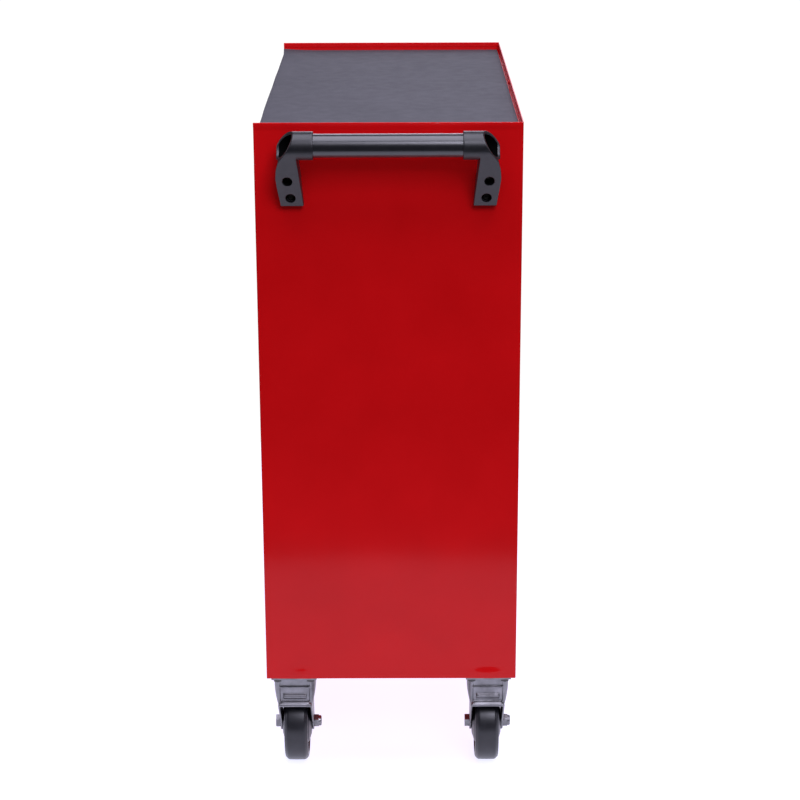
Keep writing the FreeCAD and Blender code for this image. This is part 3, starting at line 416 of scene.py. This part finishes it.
def end_skin(node, sign, dented):
    """An end panel: one sheet folded round its front edge, notched at the top rail and the base."""
    low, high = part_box(node)
    out = (high.x if sign > 0 else low.x) - sign * HEM_PROUD
    inner_edge = low.x if sign > 0 else high.x
    half = SHEET / 2
    y0, y1 = low.y, high.y
    skin = out - sign * half
    fold_x = inner_edge + sign * half
    corners = [(fold_x, y0 + FLANGE_WIDE), (fold_x, y0 + half), (skin, y0 + half), (skin, y1 - half)]
    bend = rounded(corners, FOLD_RADIUS, 4)
    start = bend[-2].y
    web_run = y1 - half - start
    line = bend[:-1] + [Vector((skin, start + web_run * k / WEB_STEPS)) for k in range(1, WEB_STEPS + 1)]
    first_web, fold_end = len(bend) - 2, 6
    upper = {first_web - 2: y0 + 0.2 * MM, first_web - 1: (y0 + start) / 2}
    fold_low, flange_top, rim_top = low.z + FOLD_LOW, high.z - FLANGE_DROP, high.z - 0.9 * MM
    rows = graded(low.z, rim_top, 12 * MM, 2.5 * MM, [(low.z, low.z + 0.03), (rim_top - 0.02, rim_top)],
                  (fold_low, flange_top, flange_top + 0.4 * MM))
    verts, faces = [], []
    for z in rows:
        hem = 0.45 * MM * smooth_step((z - (high.z - 6.6 * MM)) / (0.9 * MM))
        for k, point in enumerate(line):
            x, y = point.x, point.y
            if z > flange_top + 0.1 * MM and k in upper:
                x, y = skin, upper[k]
            if abs(x - skin) < 1e-7:
                x += sign * (hem + (dent(y, z, low.z) if dented else 0))
            verts.append(Vector((x, y, z)))
    count = len(line)
    for row in range(len(rows) - 1):
        first = 0
        if rows[row + 1] <= fold_low + 1e-6:
            first = fold_end - 1
        if rows[row] >= flange_top - 1e-6:
            first = first_web
        if rows[row] > flange_top + 0.1 * MM:
            first = first_web - 2
        for k in range(first, count - 1):
            a = row * count + k
            faces.append((a, a + 1, a + count + 1, a + count))
    piece = new_piece(f"skin_{node}", tidy(mesh_from(node, verts, faces)), node)
    modify(piece, "SOLIDIFY", thickness=SHEET, offset=0)
    modify(piece, "BEVEL", width=0.3 * MM, segments=2, limit_method="ANGLE", angle_limit=math.radians(50))
    return finished(applied(piece), "cabinet_red", 40)


def finished(piece, slot, angle=40):
    """Gives a built piece its one material and its smooth shading."""
    piece.data.materials.clear()
    piece.data.materials.append(LOOKS[slot])
    shade(piece.data, angle)
    return piece


def hem_strip(node, sign):
    """The doubled edge that is rolled inwards along the rim."""
    low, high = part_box(node)
    out = high.x if sign > 0 else low.x
    radius = HEM_THICK / 2
    section = []
    for k in range(9):
        angle = math.pi * k / 8
        x = out - sign * (radius - radius * math.cos(angle))
        section.append((x, high.z - radius + radius * math.sin(angle)))
    section += [(out - sign * HEM_THICK, high.z - HEM_TALL), (out - sign * 0.5 * MM, high.z - HEM_TALL)]
    verts, faces = [], []
    y0, y1 = low.y + 0.15 * MM, high.y - 0.15 * MM
    steps = 40
    for k in range(steps + 1):
        y = y0 + (y1 - y0) * k / steps
        sag = min(0, 0.12 * MM * noise.noise(Vector((y * 11, 0.7 * sign, 2.1))))
        for x, z in section:
            verts.append(Vector((x, y, z + sag)))
    count = len(section)
    for k in range(steps):
        for m in range(count):
            a, b = k * count + m, k * count + (m + 1) % count
            faces.append((a, b, b + count, a + count))
    faces.append(tuple(range(count)))
    faces.append(tuple(steps * count + m for m in range(count)))
    mesh = tidy(mesh_from(f"hem_{node}", verts, faces))
    piece = new_piece(f"hem_{node}", mesh, body="cabinet")
    return finished(piece, "cabinet_red")


for node, sign, dented in (("side_panel_right", 1, True), ("side_panel_left", -1, False)):
    end_skin(node, sign, dented)
    hem_strip(node, sign)


# ------------------------------------------------------------------ top mat

MAT_DEPTH, MAT_THICK, MAT_WAVE = 1.5 * MM, 2.2 * MM, 0.00035
OVERHANG_NEAR, OVERHANG_FAR, FRONT_WAVE = 0.0018, 0.0028, 0.0009
CORNER_LIFT, CORNER_PULL = 0.0022, 0.0014


def top_mat():
    """A rubber mat cut to the top: it lies a little wavy, and its front edge isn't quite straight."""
    low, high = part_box("top_mat")
    nx, ny = 110, 54
    verts, faces = [], []
    for j in range(ny + 1):
        for i in range(nx + 1):
            u, v = i / nx, j / ny
            x, y = low.x + (high.x - low.x) * u, low.y + (high.y - low.y) * v
            front = (1 - v) ** 6
            ripple = FRONT_WAVE * noise.noise(Vector((x * 9, 0.2, 0.8)))
            y += front * (ripple - OVERHANG_NEAR - OVERHANG_FAR * (1 - u))
            z = high.z - MAT_DEPTH + MAT_WAVE * (noise.noise(Vector((x * 8, y * 8, 1.7))) - 0.3)
            far = max(0.0, 1 - u / 0.06) * max(0.0, 1 - v / 0.14)
            z += CORNER_LIFT * far * far
            y -= CORNER_PULL * far * (1 - v)
            verts.append(Vector((x, y, z)))
    for j in range(ny):
        for i in range(nx):
            a = j * (nx + 1) + i
            faces.append((a, a + 1, a + nx + 2, a + nx + 1))
    mesh = mesh_from("top_mat_sheet", verts, faces)
    piece = new_piece("top_mat_sheet", mesh, "top_mat", material=LOOKS["mat_rubber"])
    modify(piece, "SOLIDIFY", thickness=MAT_THICK, offset=0)
    modify(piece, "BEVEL", width=0.5 * MM, segments=3, limit_method="ANGLE", angle_limit=math.radians(50))
    finished(applied(piece), "mat_rubber", 50)


top_mat()


# ------------------------------------------------------------------ handle

def from_cad(node, name, voxel, smooth, factor=0.6):
    """A CAD solid remeshed finely and relaxed, so that its edges are as round as a real moulding's."""
    mesh = NODES[node].data.copy()
    piece = new_piece(name, mesh, node)
    modify(piece, "WELD", merge_threshold=WELD)
    modify(piece, "REMESH", mode="VOXEL", voxel_size=voxel, adaptivity=0.0, use_smooth_shade=True)
    modify(piece, "SMOOTH", factor=factor, iterations=smooth)
    return finished(applied(piece), NODE_SLOT[node], 60)


TUBE_HALF, TUBE_MOST, END_SLANT, OUTER_SLANT = 0.1237, 0.1318, 0.54, 0.31
SCREW_PLACES, HEAD_PROUD = ((0.1225, 0.066), (0.1198, 0.090)), 8.8 * MM


def tube_end(x, z):
    """Where the push tube's slanted end lies, measured from the middle, for a place on its wall."""
    return min(TUBE_HALF - END_SLANT * z - (OUTER_SLANT if x > 0 else END_SLANT) * x, TUBE_MOST)


def handle():
    """The push tube, open at both slanted ends, and the two moulded brackets."""
    low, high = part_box("handle_tube")
    centre = (low + high) / 2
    radius, wall, ease = (high.z - low.z) / 2, 1.5 * MM, 0.35 * MM
    inner = radius - wall
    ring = [(radius - ease, 1, 0), (radius, 1, ease), (radius, -1, ease), (radius - ease, -1, 0),
            (inner + ease, -1, 0), (inner, -1, ease), (inner, 1, ease), (inner + ease, 1, 0)]
    segments, count = 128, len(ring)
    verts, faces = [], []
    for step in range(segments):
        angle = 2 * math.pi * step / segments
        x, z = radius * math.cos(angle), radius * math.sin(angle)
        for r, hand, back in ring:
            y = hand * (tube_end(x, z) - back)
            verts.append(centre + Vector((r * math.cos(angle), y, r * math.sin(angle))))
        for k in range(count):
            a, b = step * count, ((step + 1) % segments) * count
            faces.append((a + k, a + (k + 1) % count, b + (k + 1) % count, b + k))
    piece = new_piece("handle_grip_tube", tidy(mesh_from("handle_grip_tube", verts, faces)), "handle_tube")
    finished(piece, "handle_black", 35)
    for node in ("handle_bracket_front", "handle_bracket_rear"):
        from_cad(node, f"moulded_{node}", 0.55 * MM, 6)


def cross_cutter(centre, size):
    """A tapered cross that presses a driver recess along X."""
    meshes = []
    for long_axis in (0, 1):
        verts = []
        for depth, scale in ((1.2 * MM, 1.15), (-2.0 * MM, 0.55)):
            for a, b in ((-1, -1), (1, -1), (1, 1), (-1, 1)):
                along, across = a * size * scale, b * size * 0.2 * scale
                y, z = (along, across) if long_axis == 0 else (across, along)
                verts.append(centre + Vector((depth, y, z)))
        faces = [(0, 1, 2, 3), (7, 6, 5, 4)] + [(k, (k + 1) % 4, 4 + (k + 1) % 4, 4 + k) for k in range(4)]
        meshes.append(tidy(mesh_from("cross", verts, faces)))
    return meshes


def carved(piece, cutters):
    """Takes the cutters' shapes out of a piece."""
    for mesh in cutters:
        cutter = bpy.data.objects.new("cutter", mesh)
        bpy.context.scene.collection.objects.link(cutter)
        modify(piece, "BOOLEAN", object=cutter, operation="DIFFERENCE", solver="EXACT")
        applied(piece)
        bpy.data.objects.remove(cutter)
    return piece


def handle_screws():
    """Pan-head screws with a cross recess, deep in the brackets' wells, and their nuts inside."""
    low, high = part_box("handle_screws")
    head_top, panel = high.x, high.x - HEAD_PROUD
    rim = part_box("side_panel_right")[1].z
    parts, cutters = [], []
    for hand in (-1, 1):
        for y, drop in SCREW_PLACES:
            middle = Vector((0, hand * y, rim - drop))
            outline = [(0, head_top), (3.4 * MM, head_top), (4.5 * MM, head_top - 1.3 * MM),
                       (4.5 * MM, head_top - 2.8 * MM), (2.5 * MM, head_top - 2.8 * MM),
                       (2.5 * MM, low.x), (0, low.x)]
            head = rounded(outline, [0, 2 * MM, 0.6 * MM, 0.2 * MM, 0, 0.3 * MM, 0], 4)
            parts.append(lathe_mesh("screw", [(p.x, p.y) for p in head], "x", middle, 40))
            nut_base = Vector((panel - SHEET, middle.y, middle.z))
            parts.append(hexagon_mesh("nut", nut_base, (-1, 0, 0), 8 * MM, 4 * MM))
            cutters += cross_cutter(Vector((head_top, middle.y, middle.z)), 2.1 * MM)
    piece = new_piece("bracket_screws", joined("bracket_screws", parts), "handle_screws")
    finished(carved(piece, cutters), "screw_steel", 30)


# ------------------------------------------------------------------ casters

TREAD_HALF, WEB_SUNK, WHEEL_RIBS = 15.8 * MM, 3.2 * MM, 8
AXLE_RADIUS, AXLE_FLAT, HEAD_TALL, NUT_TALL = 5 * MM, 16 * MM, 6.4 * MM, 6.2 * MM


def caster_wheel(node):
    """A moulded wheel: crowned tread with round shoulders, a dished web with ribs and a long hub."""
    low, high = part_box(node)
    centre = (low + high) / 2
    rim, half_hub, bore = (high.z - low.z) / 2, (high.y - low.y) / 2, 5.05 * MM
    half, web = TREAD_HALF, TREAD_HALF - WEB_SUNK
    corners = [
        (bore, half_hub), (17 * MM, half_hub), (28 * MM, half + 0.4 * MM), (30 * MM, web),
        (rim - 11 * MM, web), (rim - 9.5 * MM, half), (rim - 4.5 * MM, half),
        (rim - 0.2 * MM, half - 4.2 * MM), (rim, 0),
    ]
    radii = [0, 1.5 * MM, 2 * MM, 1.2 * MM, 1.2 * MM, 0.8 * MM, 3.2 * MM, 5 * MM, 0]
    side = rounded(corners, radii, 6)
    outline = [(p.x, p.y) for p in side] + [(p.x, -p.y) for p in reversed(side[:-1])]
    body = lathe_mesh("wheel_body", outline, "y", centre, 128, closed=True)
    parts = [body]
    for face in (1, -1):
        for k in range(WHEEL_RIBS):
            angle = math.radians(360 / WHEEL_RIBS * k + 10)
            parts.append(rib(centre, angle, face, 27.5 * MM, rim - 10 * MM, half - 3.4 * MM))
    mesh = joined(f"wheel_{node}", parts)
    shade(mesh, 35)
    return new_piece(f"moulded_{node}", mesh, node, material=LOOKS["wheel_black"])


def rib(centre, angle, face, start, end, level):
    """One raised rib on a wheel's web, with its upper edges rounded off."""
    out = Vector((math.cos(angle), 0, math.sin(angle)))
    across = Vector((-math.sin(angle), 0, math.cos(angle)))
    foot, crest, sunk, proud = 1.6 * MM, 1.2 * MM, -1 * MM, 2.6 * MM
    section = rounded([(-foot, sunk), (-crest, proud), (crest, proud), (foot, sunk)], 0.6 * MM, 3)
    verts, faces = [], []
    for reach in (start, end):
        for p in section:
            verts.append(centre + out * reach + across * p.x + Vector((0, face * (level + p.y), 0)))
    count = len(section)
    for k in range(count):
        faces.append((k, (k + 1) % count, count + (k + 1) % count, count + k))
    faces += [tuple(range(count)), tuple(range(count, 2 * count))]
    return tidy(mesh_from("rib", verts, faces))


def hexagon_mesh(name, centre, direction, flat, height):
    """A hexagon with its corners turned off, standing from centre along a direction."""
    sides, steps = 6, 8
    corner = flat / math.sqrt(3)
    w = Vector(direction)
    u = Vector((0, 0, 1))
    v = w.cross(u)
    rings = ((0, 0.955), (0.07, 1), (0.86, 1), (1, 0.925))
    count = sides * steps
    verts, faces = [], []
    for level, shrink in rings:
        for k in range(count):
            angle = 2 * math.pi * k / count
            sector = (angle % (math.pi / 3)) - math.pi / 6
            reach = min(flat / 2 / math.cos(sector), corner * shrink)
            verts.append(centre + (u * math.cos(angle) + v * math.sin(angle)) * reach + w * level * height)
    for ring in range(len(rings) - 1):
        for k in range(count):
            a, b = ring * count + k, ring * count + (k + 1) % count
            faces.append((a, b, b + count, a + count))
    faces.append(tuple(range(count)))
    faces.append(tuple((len(rings) - 1) * count + k for k in range(count)))
    return tidy(mesh_from(name, verts, faces))


def caster(spot):
    """One caster's wheel, fork, axle bolt and lock nut."""
    wheel = f"caster_wheel_{spot}"
    caster_wheel(wheel)
    from_cad(f"caster_fork_{spot}", f"stamped_fork_{spot}", 0.7 * MM, 4)
    axle = f"caster_axle_{spot}"
    low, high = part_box(axle)
    middle = (low + high) / 2
    head_inner = low.y + HEAD_TALL
    head_base = Vector((middle.x, head_inner, middle.z))
    head = hexagon_mesh("head", head_base, (0, -1, 0), AXLE_FLAT, HEAD_TALL)
    tip = high.y
    root = head_inner - 1 * MM
    shank = rounded([(0, root), (AXLE_RADIUS, root), (AXLE_RADIUS, tip), (0, tip)], 0.7 * MM, 3)
    rod = lathe_mesh("rod", [(p.x, p.y - middle.y) for p in shank], "y", middle, 48)
    mesh = joined(f"axle_bolt_{spot}", [head, rod])
    shade(mesh, 30)
    new_piece(f"axle_bolt_{spot}", mesh, axle, material=LOOKS["zinc_steel"])
    nut = f"caster_nut_{spot}"
    low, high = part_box(nut)
    nut_base = Vector((middle.x, low.y, middle.z))
    hexa = hexagon_mesh("nut", nut_base, (0, 1, 0), AXLE_FLAT, NUT_TALL)
    tall = high.y - low.y
    outline = [(5.05 * MM, 5 * MM), (7.4 * MM, 5 * MM), (6.9 * MM, tall), (4.4 * MM, tall),
               (4.4 * MM, 5.5 * MM)]
    dome = rounded(outline, [0, 0, 2.2 * MM, 0.6 * MM, 0], 5)
    collar = lathe_mesh("collar", [(p.x, p.y) for p in dome], "y", nut_base, 64, closed=True)
    mesh = joined(f"lock_nut_{spot}", [hexa, collar])
    shade(mesh, 30)
    new_piece(f"lock_nut_{spot}", mesh, nut, material=LOOKS["zinc_steel"])


handle()
handle_screws()
for spot in ("front_right", "rear_right", "front_left", "rear_left"):
    caster(spot)


# ------------------------------------------------------------------ carried-over nodes

def soften(node, width, angle=35):
    """Small rounds on a CAD node's edges."""
    piece = NODES[node]
    modify(piece, "WELD", merge_threshold=WELD)
    modify(piece, "BEVEL", width=width, segments=2, limit_method="ANGLE", angle_limit=math.radians(angle))
    modify(piece, "WEIGHTED_NORMAL", keep_sharp=True)


REBUILT = ("side_panel", "top_mat", "handle", "caster_wheel", "caster_fork", "caster_axle", "caster_nut")
for node, piece in NODES.items():
    slot = NODE_SLOT[node]
    if not piece.material_slots:
        piece.data.materials.append(LOOKS[slot])
    for place in piece.material_slots:
        place.material = LOOKS[slot]
    if not node.startswith(REBUILT):
        soften(node, 0.25 * MM)


# ------------------------------------------------------------------ stage, lights and camera

FLOOR_RADIUS, FLOOR_RINGS = 1.12, 8


def stage():
    """A round pale floor."""
    ring = [(FLOOR_RADIUS * k / FLOOR_RINGS, 0.0) for k in range(FLOOR_RINGS + 1)]
    mesh = lathe_mesh("floor", ring, "z", Vector((0, 0, 0)), 128)
    for polygon in mesh.polygons:
        if polygon.normal.z < 0:
            polygon.flip()
    floor = bpy.data.objects.new("floor", mesh)
    bpy.context.scene.collection.objects.link(floor)
    n = Nodes("pale_floor")
    n.set(Base_Color=(0.35, 0.36, 0.38, 1), Roughness=0.7)
    n.set(Emission_Color=(1, 1, 1.25, 1), Emission_Strength=0.87)
    mesh.materials.append(n.material)


def area(name, at, to, size, power, colour):
    """A soft rectangular light at one place, facing another."""
    light = bpy.data.lights.new(name, "AREA")
    light.shape = "RECTANGLE"
    light.size, light.size_y = size
    light.energy, light.color = power, colour
    lamp = bpy.data.objects.new(name, light)
    lamp.location = at
    lamp.rotation_euler = (Vector(to) - Vector(at)).to_track_quat("-Z", "Y").to_euler()
    bpy.context.scene.collection.objects.link(lamp)


def world():
    """A white surround that the camera sees, and a dim studio that lights and reflects."""
    surround = bpy.data.worlds.new("studio")
    bpy.context.scene.world = surround
    surround.use_nodes = True
    tree = surround.node_tree
    seen, studio = tree.nodes["Background"], tree.nodes.new("ShaderNodeBackground")
    seen.inputs["Color"].default_value = (1, 1, 1, 1)
    seen.inputs["Strength"].default_value = 1.05
    studio.inputs["Color"].default_value = (0.9, 0.95, 1, 1)
    studio.inputs["Strength"].default_value = 0.03
    path, mix = tree.nodes.new("ShaderNodeLightPath"), tree.nodes.new("ShaderNodeMixShader")
    tree.links.new(path.outputs["Is Camera Ray"], mix.inputs["Fac"])
    tree.links.new(studio.outputs["Background"], mix.inputs[1])
    tree.links.new(seen.outputs["Background"], mix.inputs[2])
    tree.links.new(mix.outputs["Shader"], tree.nodes["World Output"].inputs["Surface"])


LENS_PIXELS, FRAME_PIXELS, SENSOR_WIDTH = 2078.6, 800, 36
EYE_OUT, EYE_ASIDE, EYE_ABOVE = 2.5118, 0.0198, 0.4485
PITCH, YAW, ROLL = 17.733, 0.153, 0.2086


def camera():
    """The main view: from above the handle end, along the cabinet's length."""
    lens = bpy.data.cameras.new("camera")
    lens.sensor_width = SENSOR_WIDTH
    lens.lens = LENS_PIXELS * SENSOR_WIDTH / FRAME_PIXELS
    lens.clip_end = 50
    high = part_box("side_panel_right")[1]
    face = high.x - HEM_PROUD
    eye = Vector((face + EYE_OUT, EYE_ASIDE, high.z + EYE_ABOVE))
    pitch, yaw, roll = math.radians(PITCH), math.radians(YAW), math.radians(ROLL)
    forward = Vector((-math.cos(pitch) * math.cos(yaw), -math.cos(pitch) * math.sin(yaw), -math.sin(pitch)))
    right = Vector((-math.sin(yaw), math.cos(yaw), 0))
    down = forward.cross(right)
    if down.z > 0:
        down = -down
    side = right * math.cos(roll) + down * math.sin(roll)
    up = -(-right * math.sin(roll) + down * math.cos(roll))
    turn = Matrix((side, up, -forward)).transposed()
    eye_object = bpy.data.objects.new("camera", lens)
    eye_object.matrix_world = Matrix.Translation(eye) @ turn.to_4x4()
    bpy.context.scene.collection.objects.link(eye_object)
    bpy.context.scene.camera = eye_object


bpy.context.scene.view_settings.view_transform = "Standard"
stage()
world()
COOL = (0.97, 0.95, 1.16)
area("overhead", (0.5, 0.0, 2.9), (0.1, 0, 0.4), (2.2, 2.2), 62, COOL)
area("front_fill", (2.9, 0.7, 2.7), (0.3, 0, 0.5), (1.3, 1.3), 56, COOL)
area("left_fill", (0.4, -3.0, 1.6), (0, 0, 0.5), (1.8, 1.8), 26, COOL)
area("right_fill", (0.4, 3.0, 1.6), (0, 0, 0.5), (1.8, 1.8), 26, COOL)
area("back_fill", (-3.0, 0.4, 1.8), (0, 0, 0.5), (1.8, 1.8), 22, COOL)
camera()
